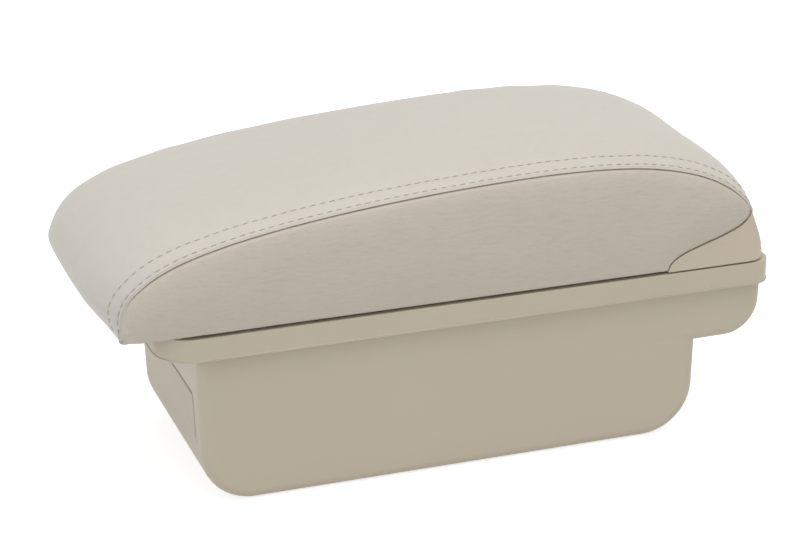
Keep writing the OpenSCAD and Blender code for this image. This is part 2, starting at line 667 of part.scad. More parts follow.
module lid_carrier() {
    color(plastic) difference() {
        union() {
            slab(plate_z, plate_t, -plate_front, cover_rear - cover_wall - 1, plate_half_w, corner_r,
                corner_r / 2);
            for (s = [0, 1]) mirror([0, s, 0]) {
                translate([-rail_front, rail_y, plate_z])
                    cube([rail_front + rail_rear, rail_t, plate_t + rail_h]);
                translate([-rail_front, rail_y, rail_top - rail_t])
                    cube([rail_front + rail_rear, rail_t + rail_lip, rail_t]);
            }
            for (x = [-rail_front, rail_rear - rail_t]) translate([x, -rail_y, plate_z])
                cube([rail_t, 2 * rail_y, plate_t + rail_h]);
            translate([-stop_rib - stop_t, -stop_half_w, plate_z])
                cube([stop_t, 2 * stop_half_w, plate_t + rail_h - 1]);
            translate([-catch_x - magnet_l / 2 - wall / 2, -magnet_w / 2 - wall, plate_z])
                cube([magnet_l + wall, magnet_w + 2 * wall, plate_t + magnet_t - 1]);
            for (k = lid_knuckles) lid_knuckle(k * knuckle);
        }
        translate([-catch_x - magnet_l / 2 - fit, -magnet_w / 2 - fit, plate_z + 1])
            cube([magnet_l + 2 * fit, magnet_w + 2 * fit, plate_t + magnet_t + cut]);
        slab(plate_z - cut, cut + lining_t, -lining_front, lining_rear, lining_half_w, corner_r, corner_r);
        for (p = cover_screw_spots) translate([p[0], p[1], plate_z - cut]) {
            cylinder(h = plate_t + 2 * cut, r = cover_screw_r + 2 * fit);
            cylinder(h = cover_head_h + fit + cut, r = cover_head_r + 2 * fit);
        }
        translate([hinge_x, hinge_len / 2, hinge_z]) rotate([90, 0, 0])
            cylinder(h = hinge_len, r = pin_r + pin_clear);
    }
}

// Knuckle on an arm of the carrier plate, with the heel that stops the open lid against the rim
heel_len = 6.4;
heel_t = 2 * (hinge_back - fit);
arm_in = 6;
module lid_knuckle(y) {
    half = knuckle / 2 - knuckle_gap;
    arm_start = cover_rear - cover_wall - arm_in;
    side_extrude(y - half, y + half) {
        translate([hinge_x, hinge_z]) {
            circle(barrel_r);
            rotate(lid_open - 90) translate([0, -heel_t / 2]) square([heel_len, heel_t]);
        }
        polygon([[arm_start, plate_z], [hinge_x, plate_z], [hinge_x, hinge_z], [arm_start, hinge_z]]);
    }
}

// First points of a line up to n, and its points from n on
function upto(p, n) = [for (i = [0:n]) p[i]];
function from(p, n) = [for (i = [n:len(p) - 1]) p[i]];

// Side view of the cover, and of the hollow inside its walls, which stops short of the thin rear tip
tip_points = 6;
module cover_side() {
    polygon(concat(parting, cover_back));
}
module cover_hollow() {
    polygon(concat([[cover_nose + cover_wall, cover_z - cut]],
        upto(shift_line(parting, -cover_wall), len(parting) - tip_points),
        from(shift_line(cover_back, -cover_wall), tip_points / 2),
        [[cover_rear - cover_wall, cover_z - cut]]));
}

module rear_cover() {
    hinge_cut = hinge_len / 2 + 1;
    color(plastic) difference() {
        intersection() {
            difference() {
                side_extrude(-rim_half_w, rim_half_w) cover_side();
                difference() {
                    intersection() {
                        side_extrude(cover_wall - rim_half_w, rim_half_w - cover_wall) cover_hollow();
                        slab(cover_z - cut, cover_h + 2 * cut, cover_nose, cover_rear - cover_wall,
                            rim_half_w - cover_wall, 1, rim_rear_r - cover_wall);
                    }
                    for (p = cover_screw_spots) translate([p[0], p[1], plate_top])
                        cylinder(h = cover_h, r = cover_head_r + 1);
                }
            }
            slab(cover_z - cut, cover_h + 2 * cut, cover_nose - cut, cover_rear, rim_half_w, 1, rim_rear_r);
        }
        for (p = cover_screw_spots) translate([p[0], p[1], plate_top - cut])
            cylinder(h = cut + cover_screw_len - cover_head_h, r = cover_screw_r + fit / 5);
        translate([cover_rear - 4 * cover_wall, -hinge_cut, cover_z - cut])
            cube([6 * cover_wall, 2 * hinge_cut, hinge_z + barrel_r + 1.6 - cover_z + cut]);
        translate([cover_nose - cut, -plate_half_w - fit, cover_z - cut])
            cube([cut + 3 * cover_wall, 2 * (plate_half_w + fit), plate_top - cover_z + cut]);
    }
}

module cover_screws() {
    color(steel) for (p = cover_screw_spots) translate([p[0], p[1], plate_z]) difference() {
        union() {
            cylinder(h = cover_screw_len, r = cover_screw_r);
            cylinder(h = cover_head_h, r = cover_head_r);
        }
        mirror([0, 0, 1]) cross_recess(0, cover_head_r);
    }
}

module catch_magnet() {
    color(steel) translate([-catch_x - magnet_l / 2, -magnet_w / 2, plate_z + 1])
        cube([magnet_l, magnet_w, magnet_t]);
}

module lid_lining() {
    color(rubber) slab(plate_z, lining_t, fit - lining_front, lining_rear - fit, lining_half_w - fit,
        corner_r - fit, corner_r - fit);
}

module slide_felts() {
    color(rubber) for (s = [0, 1]) mirror([0, s, 0]) translate([-rail_front, rail_y + rail_t, rail_top])
        cube([rail_front + rail_rear, rail_lip - fit, felt_t]);
}

// Plan extent of the base board inside the leather
base_half_w = rim_half_w - leather_t - 0.3;
base_front = seam_foot - leather_t - 0.4;
tunnel_half_w = base_half_w - skirt_t;
base_rear = cover_nose - parting_gap - leather_t;

// Side view of the base: the board over its skirt, then a shell that follows the parting line
shell_low = shift_line(parting, parting_gap + leather_t);
shell_high = shift_line(parting, parting_gap + leather_t + base_t);
function count_below(p, z) = len([for (q = p) if (q[1] <= z) q]);
board_end = count_below(shell_high, board_top);
shell_stop = len(parting) - 4;
// Line along the base's upper side, from the end of the board up the shell, raised by a gap
function seat_line(gap) = let (p = shift_line(parting, parting_gap + leather_t + base_t + gap))
    concat([[p[board_end][0], board_top + gap]], from(p, board_end));
base_side = concat([[-base_front, skirt_z], [base_rear, skirt_z]],
    from(upto(shell_low, shell_stop), count_below(shell_low, skirt_z)),
    backward(upto(seat_line(0), shell_stop - board_end + 1)), [[-base_front, board_top]]);

module pad_base() {
    color("#3f3d3a") difference() {
        union() {
            difference() {
                intersection() {
                    side_extrude(-rim_half_w, rim_half_w) polygon(base_side);
                    slab(skirt_z - cut, seam_rise, -base_front, pad_rear - 2 * leather_t, base_half_w,
                        pad_corner_r - 2, rim_rear_r - 1);
                }
                slab(skirt_z - cut, board_z - skirt_z + cut, -base_front + skirt_t, rim_rear, tunnel_half_w,
                    pad_corner_r - 2 - skirt_t, 1);
            }
            translate([pad_travel - stop_rib + fit, -stop_half_w, rail_top - rail_h + 1])
                cube([stop_t, 2 * stop_half_w, board_z + base_t / 2 - rail_top + rail_h - 1]);
        }
        for (p = runner_screw_spots) translate([p[0], p[1], board_z - cut])
            cylinder(h = cut + runner_bite, r = runner_screw_r + fit / 5);
    }
}

module foam_pad() {
    color("#d8d2a8") difference() {
        pad_form(leather_t + fit);
        side_extrude(-2 * rim_half_w, 2 * rim_half_w) polygon(concat(
            [[-2 * pad_front, 0], [-2 * pad_front, board_top + fit]], seat_line(fit),
            [[2 * rim_rear, part_end[1]], [2 * rim_rear, 0]]));
    }
}

// Leather over the crown and the front, turned in under the base at its front foot
module top_cover() {
    rows = [for (i = [0:len(seam) - 1]) i];
    turned_out = [for (p = ring_crown(0, 0)) [turn_in - seam_foot, p[1], pad_z]];
    turned_in = [for (p = ring_crown(0, leather_t)) [turn_in - seam_foot, p[1], pad_z + leather_t]];
    color(leather) sheet(concat([turned_out], [for (i = rows) ring_crown(i, 0)]),
        concat([turned_in], [for (i = rows) ring_crown(i, leather_t)]));
}

// Leather side panel below the seam, turned in under the base
module side_cover(s) {
    rows = [for (i = [0:len(seam) - 2]) i];
    function turned(p, z) = concat([[p[0][0], p[0][1] + turn_in, z]], p);
    outer = [for (i = rows) turned(ring_side(i, 0, ring_foot(i, 0), -1), ring_foot(i, 0))];
    inner = [for (i = rows)
        let (foot = min(ring_foot(i, leather_t) + leather_t, ring_seam(i, leather_t)[1] - fit))
        turned(ring_side(i, leather_t, foot, -1), foot)];
    color(leather) mirror([0, s, 0]) sheet(outer, inner);
}

module side_cover_left() {
    side_cover(1);
}

module side_cover_right() {
    side_cover(0);
}

// Runners under the base board, which hook under the rails' flanges
runner_gap = 0.4;
runner_w = 4.2;
runner_y = rail_y + rail_t + rail_lip + runner_gap;
runner_z = rail_top - rail_t - runner_gap - runner_lip_h;
runner_lead = 20;
runner_front = rail_front + runner_lead;
runner_rear = rail_rear - 2;
runner_bite = base_t - 0.4;
runner_head_r = 1.9 * runner_screw_r;
runner_screw_in = 12;
runner_screw_len = runner_front + runner_rear - 2 * runner_screw_in;
runner_screw_spots = [for (s = [-1, 1], i = [0:3])
    [-runner_front + runner_screw_in + runner_screw_len * i / 3, s * (runner_y + runner_w / 2)]];

module slide_runner(s) {
    color("#5b5955") difference() {
        mirror([0, s, 0]) union() {
            translate([-runner_front, runner_y, runner_z])
                cube([runner_front + runner_rear, runner_w, board_z - runner_z]);
            translate([-runner_front, rail_y + rail_t + runner_gap, runner_z])
                cube([runner_front + runner_rear, rail_lip + runner_gap, runner_lip_h]);
        }
        for (p = runner_screw_spots) translate([p[0], p[1], runner_z - cut]) {
            cylinder(h = board_z - runner_z + 2 * cut, r = runner_screw_r + fit);
            translate([0, 0, cut - fit]) cylinder(h = runner_head_r - runner_screw_r + fit,
                r1 = runner_head_r + fit, r2 = runner_screw_r + fit);
        }
    }
}

module slide_runner_left() {
    slide_runner(1);
}

module slide_runner_right() {
    slide_runner(0);
}

module runner_screws() {
    color(steel) for (p = runner_screw_spots) translate([p[0], p[1], runner_z]) difference() {
        union() {
            cylinder(h = board_z + runner_bite - fit - runner_z, r = runner_screw_r);
            cylinder(h = runner_head_r - runner_screw_r, r1 = runner_head_r, r2 = runner_screw_r);
        }
        mirror([0, 0, 1]) cross_recess(0, runner_head_r);
    }
}

// Staples that hold the turned-in leather, along both sides and across the front
module cover_staples() {
    side_y = rim_half_w - leather_t - turn_in / 2;
    count = 9;
    x0 = pad_corner_r * 2 - seam_foot;
    x1 = base_rear - staple_w;
    front_step = rim_half_w / 2 - 3;
    color(steel) {
        for (s = [-1, 1], i = [0:count - 1])
            translate([x0 + (x1 - x0) * i / (count - 1) - staple_w / 2, s * side_y - 0.3, pad_z - staple_t])
                cube([staple_w, 0.6, staple_t]);
        for (i = [-1:1])
            translate([turn_in / 2 + 0.8 - seam_foot, i * front_step - staple_w / 2, pad_z - staple_t])
                cube([0.6, staple_w, staple_t]);
    }
}

storage_box();
anti_rattle_discs();
rim_frame();
rim_screws();
floor_mat();
shelf_mat();
rim_bumpers();
catch_plate();
hinge_pin();
lid_carrier();
rear_cover();
cover_screws();
catch_magnet();
lid_lining();
slide_felts();
pad_base();
foam_pad();
top_cover();
side_cover_left();
side_cover_right();
slide_runner_left();
slide_runner_right();
runner_screws();
cover_staples();
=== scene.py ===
import math

import bmesh
import bpy
import numpy as np
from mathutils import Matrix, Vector, noise


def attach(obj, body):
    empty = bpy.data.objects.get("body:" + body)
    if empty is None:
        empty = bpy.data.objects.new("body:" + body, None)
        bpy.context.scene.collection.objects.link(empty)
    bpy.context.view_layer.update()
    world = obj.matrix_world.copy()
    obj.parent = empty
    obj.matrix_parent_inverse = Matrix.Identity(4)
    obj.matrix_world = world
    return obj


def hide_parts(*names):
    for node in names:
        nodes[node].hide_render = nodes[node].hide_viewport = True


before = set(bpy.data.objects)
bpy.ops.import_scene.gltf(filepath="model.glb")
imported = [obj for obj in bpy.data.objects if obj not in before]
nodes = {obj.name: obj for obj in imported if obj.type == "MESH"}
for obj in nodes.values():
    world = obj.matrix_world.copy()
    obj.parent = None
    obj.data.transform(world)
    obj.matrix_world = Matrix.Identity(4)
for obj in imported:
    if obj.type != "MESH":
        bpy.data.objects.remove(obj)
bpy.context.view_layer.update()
scene = bpy.context.scene
scene.view_settings.view_transform = "Standard"
MM = 0.001


# Camera: the photo looks 19.5 degrees to the side of straight across the armrest and 22.1 degrees
# down on it, with a long lens.
view_side = math.radians(19.5)
view_down = math.radians(22.1)
camera_data = bpy.data.cameras.new("camera")
camera_data.lens = 112.5
camera_data.sensor_width = 36
camera = bpy.data.objects.new("camera", camera_data)
camera.location = Vector((-351.65, -994.38, 506.75)) * MM
camera.rotation_euler = (math.pi / 2 - view_down, 0, -view_side)
scene.collection.objects.link(camera)
scene.camera = camera


# Studio: a white floor under a white surround. Both show as plain white to the camera and in
# reflections, and light the armrest at a lower, even level. The floor keeps a soft shadow.
def linear(hex_text):
    """Linear colour of an sRGB hex value, with full alpha."""
    channels = [int(hex_text[i:i + 2], 16) / 255 for i in (1, 3, 5)]
    return [c / 12.92 if c <= 0.04045 else ((c + 0.055) / 1.055) ** 2.4 for c in channels] + [1.0]


def add(tree, kind, sockets=None, **settings):
    """Adds a shader node; sockets gives each input's value, or the output that feeds it."""
    made = tree.nodes.new("ShaderNode" + kind)
    for name, value in settings.items():
        setattr(made, name, value)
    for name, value in (sockets or {}).items():
        if isinstance(value, bpy.types.NodeSocket):
            tree.links.new(value, made.inputs[name])
        else:
            made.inputs[name].default_value = value
    return made


def seen_directly(tree):
    """Output that is 1 for camera, mirror and glass rays and 0 for light that bounces."""
    path = add(tree, "LightPath")
    first = add(tree, "Math", {0: path.outputs["Is Camera Ray"], 1: path.outputs["Is Glossy Ray"]},
                operation="MAXIMUM")
    return add(tree, "Math", {0: first.outputs[0], 1: path.outputs["Is Transmission Ray"]},
               operation="MAXIMUM").outputs[0]


surround_light = 0.57
world = bpy.data.worlds.new("surround")
scene.world = world
world.use_nodes = True
world.node_tree.nodes.clear()
seen = seen_directly(world.node_tree)
strength = add(world.node_tree, "MapRange", {"Value": seen, "To Min": surround_light, "To Max": 1.0})
surround = add(world.node_tree, "Background", {"Color": linear("#ffffff"), "Strength": strength.outputs[0]})
add(world.node_tree, "OutputWorld", {"Surface": surround.outputs[0]})

floor_size = 12.0
floor_lift = 0.7
bpy.ops.mesh.primitive_plane_add(size=floor_size, location=(0, 0, -0.0003))
floor = bpy.context.object
floor.name = "floor"
floor_white = bpy.data.materials.new("painted_white_floor")
floor_white.use_nodes = True
tree = floor_white.node_tree
tree.nodes.clear()
matte = add(tree, "BsdfDiffuse", {"Color": linear("#dcdcdc")})
lift = add(tree, "MapRange", {"Value": seen_directly(tree), "To Min": 0.0, "To Max": floor_lift})
glow = add(tree, "Emission", {"Color": linear("#ffffff"), "Strength": lift.outputs[0]})
both = add(tree, "AddShader", {0: matte.outputs[0], 1: glow.outputs[0]})
add(tree, "OutputMaterial", {"Surface": both.outputs[0]})
floor.data.materials.append(floor_white)


def softbox(name, place, size, watts, tint):
    """Square area lamp that faces the armrest."""
    data = bpy.data.lights.new(name, "AREA")
    data.size = size
    data.energy = watts
    data.color = linear(tint)[:3]
    lamp = bpy.data.objects.new(name, data)
    lamp.location = place
    lamp.rotation_euler = (Vector((0, 0, 0.1)) - Vector(place)).to_track_quat("-Z", "Y").to_euler()
    scene.collection.objects.link(lamp)


softbox("overhead", (0.17, -0.45, 1.6), 1.1, 9.6, "#fffefc")
softbox("left_fill", (-1.7, -0.5, 0.35), 1.0, 4.9, "#eff3ff")
softbox("front_fill", (0.9, -1.8, 0.9), 0.9, 1.6, "#fffaf4")


# Storage box and rim: injection moulded ABS in warm beige with a fine spark-eroded grain, screwed
# together from above. The grain breaks up the gloss, so the faces look matte with a soft sheen along
# the rounded edges.
def patches(tree, place, size_mm, detail, distortion=0.0):
    """Noise texture with patches of a real size."""
    return add(tree, "TexNoise", {"Vector": place, "Scale": 1000 / size_mm, "Detail": detail,
                                  "Distortion": distortion})


def mottled(name, light, dark, size_mm, **sockets):
    """New material whose colour changes slowly between two close shades, in patches of a real size.

    Returns the material, its node tree, the shader and the place on the piece."""
    made = bpy.data.materials.new(name)
    made.use_nodes = True
    tree = made.node_tree
    tree.nodes.clear()
    place = add(tree, "TexCoord").outputs["Object"]
    cloud = patches(tree, place, size_mm, 3.0)
    shade = add(tree, "Mix", {"Factor": cloud.outputs["Fac"], "A": linear(light), "B": linear(dark)},
                data_type="RGBA")
    shader = add(tree, "BsdfPrincipled", {"Base Color": shade.outputs["Result"], **sockets})
    add(tree, "OutputMaterial", {"Surface": shader.outputs[0]})
    return made, tree, shader, place


def emboss(tree, height, depth_mm, below=None):
    """Bump of a real depth, laid over another one."""
    sockets = {"Height": height, "Distance": depth_mm * MM, "Strength": 1.0}
    if below is not None:
        sockets["Normal"] = below
    return add(tree, "Bump", sockets).outputs[0]


def moulded_plastic(name, light, dark, roughness, grain_mm=0.7, grain_depth=0.012):
    """Moulded plastic: grain of a real size, drawn a little coarser than the mould's 0.4 mm."""
    made, tree, shader, place = mottled(name, light, dark, 60, Roughness=roughness, IOR=1.5)
    grain = patches(tree, place, grain_mm, 2.0)
    flow = patches(tree, place, 35, 1.0)
    soft = emboss(tree, flow.outputs["Fac"], 0.15)
    tree.links.new(emboss(tree, grain.outputs["Fac"], grain_depth, soft), shader.inputs["Normal"])
    return made


weld_gap = 0.008
rounded_from = math.radians(32)


def finish_node(node, material, round_mm=0.0):
    """Gives a carried-over solid its finish: faces joined, edges a little rounded, shading smooth."""
    piece = nodes[node]
    mesh = piece.data
    mesh.shade_smooth()
    if mesh.has_custom_normals:
        mesh.attributes.remove(mesh.attributes["custom_normal"])
    weld = piece.modifiers.new("joined_faces", "WELD")
    weld.merge_threshold = weld_gap * MM
    if round_mm:
        edge = piece.modifiers.new("rounded_edges", "BEVEL")
        edge.width = round_mm * MM
        edge.segments = 3
        edge.limit_method = "ANGLE"
        edge.angle_limit = rounded_from
        edge.use_clamp_overlap = False
        edge.miter_outer = "MITER_ARC"
    even = piece.modifiers.new("even_shading", "WEIGHTED_NORMAL")
    even.keep_sharp = True
    mesh.materials.clear()
    mesh.materials.append(material)


beige_abs = moulded_plastic("moulded_abs_beige", "#ccc2ae", "#c8beaa", 0.52)
finish_node("storage_box", beige_abs)
finish_node("rim_frame", beige_abs, 0.35)


# Rear cover: the hard wedge behind the padded part, moulded in the same ABS with a slightly smoother
# skin. Its colour is painted light: a lighter copy of the rim's beige, as the wedge takes a touch
# more light than the rim. Screws hold it on the carrier from below.
wedge_abs_painted_lighter = moulded_plastic("moulded_abs_wedge_painted_light", "#d2c6b2", "#cec2ae", 0.48)
finish_node("rear_cover", wedge_abs_painted_lighter, 0.2)


# Lid carrier: a plate with two rails and the hinge knuckles, moulded in the same ABS. It turns on the
# hinge pin, and shows only with the lid up or the pad slid forward.
finish_node("lid_carrier", beige_abs, 0.25)


# Pad base and slide runners: the base is moulded in dark recycled polypropylene with a coarse grain.
# The runners screwed under it are acetal, which is smooth and slightly waxy so that it slides.
dark_pp = moulded_plastic("moulded_pp_dark", "#45423e", "#3f3c39", 0.6, 1.1, 0.03)
finish_node("pad_base", dark_pp, 0.25)
waxy_pom = moulded_plastic("moulded_pom_grey", "#68655f", "#625f5a", 0.34, 2.0, 0.006)
finish_node("slide_runner_left", waxy_pom, 0.15)
finish_node("slide_runner_right", waxy_pom, 0.15)


# Rubber: the two floor mats, the four bumpers and the four discs under the floor, moulded in black EPDM
# with a matte, dusty skin. The mats lie loose, and the others are pressed into their seats.
def moulded_rubber():
    """EPDM: very rough, with a slight bloom that greys it in patches."""
    made, tree, shader, place = mottled("moulded_epdm", "#3c3a37", "#474440", 18, Roughness=0.82,
                                        IOR=1.5)
    pits = patches(tree, place, 0.9, 3.0)
    tree.links.new(emboss(tree, pits.outputs["Fac"], 0.03), shader.inputs["Normal"])
    return made


epdm = moulded_rubber()
for node in ("floor_mat", "shelf_mat", "rim_bumpers", "anti_rattle_discs"):
    finish_node(node, epdm, 0.15)


# Felt: the lining under the lid and the strips on the rails, needled from grey polyester fibre and
# glued on. Its fibres lie in all directions, so it scatters light softly at its edges.
def needled_felt():
    """Felt: stretched fibre noise at about 0.3 mm, drawn at 0.8 mm so that it shows."""
    made, tree, shader, place = mottled("needled_felt", "#5c5953", "#4f4c47", 3, Roughness=0.95)
    shader.inputs["Sheen Weight"].default_value = 0.4
    shader.inputs["Sheen Roughness"].default_value = 0.5
    fibre = patches(tree, place, 0.8, 6.0, 2.0)
    tree.links.new(emboss(tree, fibre.outputs["Fac"], 0.12), shader.inputs["Normal"])
    return made


felt = needled_felt()
finish_node("lid_lining", felt)
finish_node("slide_felts", felt)


# Steel pieces: the screws, the hinge pin, the staples and the catch plate are zinc plated, which
# leaves a pale, faintly blue metal with fine drawing marks. The magnet is nickel plated. Pin, plate
# and magnet are pressed in.
def plated_metal(name, light, dark, roughness):
    """Plated steel: a metal whose roughness changes in fine streaks."""
    made, tree, shader, place = mottled(name, light, dark, 6, Metallic=1.0, Roughness=roughness)
    streak = patches(tree, place, 0.5, 2.0)
    worn = add(tree, "MapRange", {"Value": streak.outputs["Fac"], "To Min": roughness - 0.06,
                                  "To Max": roughness + 0.1})
    tree.links.new(worn.outputs[0], shader.inputs["Roughness"])
    return made


zinc = plated_metal("zinc_plated_steel", "#c9cbce", "#b9bbbf", 0.32)
nickel = plated_metal("nickel_plated_magnet", "#d0ccc4", "#c4c0b8", 0.2)
for node in ("rim_screws", "cover_screws", "runner_screws", "cover_staples", "catch_plate", "hinge_pin"):
    finish_node(node, zinc)
finish_node("catch_magnet", nickel, 0.2)


# Form of the pad, in millimetres: the seam is two quarter ovals in side view, the crown swells
# outside it, and the side panels fall from it to the pad's lower edge and to the parting line.
pad_low = 83.6
# seam in side view: rise over the lower edge, highest place, ends, shape of its two ovals, last angle
seam_rise, seam_apex = 53.9, 47.0
seam_foot, seam_end = 142.2, 147.9
front_flat, front_blunt = 1.51, 3.65
rear_flat, rear_blunt = 2.65, 2.59
rear_stop = 21.6
# crown over the seam: height at the apex, flatness across, height at the front and at the rear, and
# the share of the seam's rise below which the rear keeps that height
crown_h, crown_flat = 8.6, 4.6
front_swell, rear_swell = 14.6, 5.4
rear_swell_from = 0.45
# front foot: rise over which the crown comes out, and its share at the very foot
foot_tuck, foot_share = 14.0, 0.08
# plan view: half widths and corner radii, and how far the pad reaches past the seam's ends
lid_half, seam_out = 58.0, 0.6
front_corner, rear_corner = 13.0, 9.0
past_seam = 3.6
pad_front, pad_rear = seam_foot + past_seam, seam_end + past_seam
# side panel: its swell at half height, where it stands taller than full_tall, and its least height
side_swell, full_tall, least_tall = 1.2, 40, 0.3
leather_t = 1.2
parting_gap = 0.5
rear_len = (seam_end - seam_apex) / math.cos(math.radians(rear_stop)) ** (2 / rear_flat)


def bezier(points, count):
    """Points of a cubic curve through four control points."""
    t = np.linspace(0, 1, count)[:, None]
    a, b, c, d = (np.array(p, float) for p in points)
    return (1 - t) ** 3 * a + 3 * (1 - t) ** 2 * t * b + 3 * (1 - t) * t * t * c + t ** 3 * d


part_nose, part_knee, part_end = (107.6, 83.1), (123.3, 93.6), (147.8, 107.6)
parting = np.vstack([
    bezier([part_nose, (108.2, 87.5), (111.8, 90.2), part_knee], 30),
    bezier([part_knee, (133.9, 97.2), (147.3, 100.3), part_end], 40)[1:]])
part_run = np.gradient(parting, axis=0)
part_run /= np.linalg.norm(part_run, axis=1)[:, None]
part_edge = parting + parting_gap * np.stack([-part_run[:, 1], part_run[:, 0]], -1)
nose_x = part_edge[0, 0]


def seam_at(angle):
    """Seam points in side view, by angle in degrees from the front foot."""
    a = np.radians(angle)
    front = angle <= 90
    x = np.where(front, seam_apex - (seam_apex + seam_foot) * np.abs(np.cos(a)) ** (2 / front_flat),
                 seam_apex + rear_len * np.abs(np.cos(a)) ** (2 / rear_flat))
    z = pad_low + seam_rise * np.sin(a) ** np.where(front, 2 / front_blunt, 2 / rear_blunt)
    return np.stack([x, z], -1)


def run_along(line):
    """Distance of each point of a line from its start, along the line."""
    return np.concatenate([[0], np.cumsum(np.linalg.norm(np.diff(line, axis=0), axis=1))])


dense = np.linspace(0.02, 180 - rear_stop, 6000)
dense_line = seam_at(dense)
dense_run = run_along(dense_line)
seam_length = dense_run[-1]


def corner_cut(depth, radius):
    """How far a rounded corner cuts in at a depth past its start."""
    return radius - np.sqrt(np.maximum(0, radius ** 2 - depth ** 2))


def pad_half(x):
    """Half width of the pad at a place along it."""
    return (lid_half - corner_cut(np.maximum(0, front_corner - pad_front - x), front_corner)
            - corner_cut(np.maximum(0, x - pad_rear + rear_corner), rear_corner))


def pad_floor(x):
    """Height of the pad's lower edge, along the rim and then along the parting line."""
    over_wedge = np.interp(x, part_edge[:, 0], part_edge[:, 1])
    return np.where(x < nose_x, pad_low, np.maximum(pad_low, over_wedge))


# smoothing of the side panel's height along the seam: whole reach and width of its bell curve
ease_reach, ease_width = 15, 6


class Rings:
    """Rings round the pad along the seam, closer behind the wedge's nose, where the foot rises steeply."""

    def __init__(self, step, nose_rings=()):
        nose_run = np.interp(nose_x, dense_line[:, 0], dense_run)
        even = np.linspace(0, seam_length, int(seam_length / step) + 1)
        self.run = np.union1d(even, nose_run + np.array(nose_rings))
        self.angle = np.interp(self.run, dense_run, dense)
        self.seam = seam_at(self.angle)
        along = np.gradient(self.seam, axis=0)
        along /= np.linalg.norm(along, axis=1)[:, None]
        self.along = along
        self.normal = np.stack([-along[:, 1], along[:, 0]], -1)
        rise = (self.seam[:, 1] - pad_low) / seam_rise
        front = front_swell + (crown_h - front_swell) * np.sin(np.radians(self.angle))
        tuck = foot_share + (1 - foot_share) * np.minimum(1, rise * seam_rise / foot_tuck)
        rear_rise = np.maximum(0, (rise - rear_swell_from) / (1 - rear_swell_from))
        rear = rear_swell + (crown_h - rear_swell) * rear_rise
        self.swell = np.where(self.angle > 90, rear, front * tuck)
        self.half = pad_half(self.seam[:, 0]) + seam_out
        self.floor = np.minimum(pad_floor(self.seam[:, 0]), self.seam[:, 1] - least_tall)
        self.tall = self.seam[:, 1] - self.floor
        spots = np.arange(-ease_reach, seam_length + ease_reach + 1)
        kernel = np.exp(-(np.arange(-ease_reach, ease_reach + 1) / ease_width) ** 2)
        eased = np.convolve(np.interp(spots, self.run, self.tall), kernel / kernel.sum(), "valid")
        self.eased_tall = np.interp(self.run, spots[ease_reach:-ease_reach], eased)

    def eased(self, share):
        """Share of the height without the step in it behind the wedge's nose."""
        return np.clip(1 - (1 - share) * (self.tall / self.eased_tall)[:, None], 0, 1)


# Swell of the leather: cloth under light air pressure, held along the seams, the foot and the two
# ends, shows how the cover rises between its seams. The movement is capped and then laid on the
# finely divided panels, so that the seams and stitches keep their places.
coarse = Rings(4.2)
side_columns = 8
coarse_side = np.linspace(0, 1, side_columns)
coarse_cross = np.linspace(-1, 1, 29)
pressure, pressed_frames = 4.0, 20
swell_cap = 0.3
# smoothing of the swell: spacing of its rows in millimetres, and how often neighbours are averaged
swell_step, smooth_passes = 0.8, 6


def side_points(rings, share, hand):
    """Side panel points by share of the height; hand is -1 near the camera and 1 away from it."""
    low = pad_half(rings.seam[:, 0])[:, None]
    tall = np.minimum(1, rings.tall / full_tall)[:, None]
    up = rings.eased(share)
    width = low + (rings.half[:, None] - low) * up + side_swell * tall * 4 * up * (1 - up)
    z = rings.floor[:, None] + rings.tall[:, None] * share
    x = np.broadcast_to(rings.seam[:, :1], width.shape)
    return np.stack([x, hand * width, z], -1)


def crown_points(rings, cross):
    """Crown points by place across, from -1 at the near seam to 1 at the far one."""
    cross = np.broadcast_to(cross, (len(rings.run), np.shape(cross)[-1]))
    out = rings.swell[:, None] * (1 - np.abs(cross) ** crown_flat)
    in_side_view = rings.seam[:, None, :] + out[..., None] * rings.normal[:, None, :]
    return np.stack([in_side_view[..., 0], rings.half[:, None] * cross, in_side_view[..., 1]], -1)


def grid_faces(rows, columns):
    """Quads of a grid of points."""
    corner = np.arange(rows - 1)[:, None] * columns + np.arange(columns - 1)
    return np.stack([corner, corner + columns, corner + columns + 1, corner + 1], -1).reshape(-1, 4).tolist()


def mesh_piece(name, points, faces):
    """Object with a mesh of its own, from points in millimetres."""
    mesh = bpy.data.meshes.new(name)
    mesh.from_pydata((np.asarray(points).reshape(-1, 3) * MM).tolist(), [], faces)
    mesh.shade_smooth()
    made = bpy.data.objects.new(name, mesh)
    scene.collection.objects.link(made)
    return made


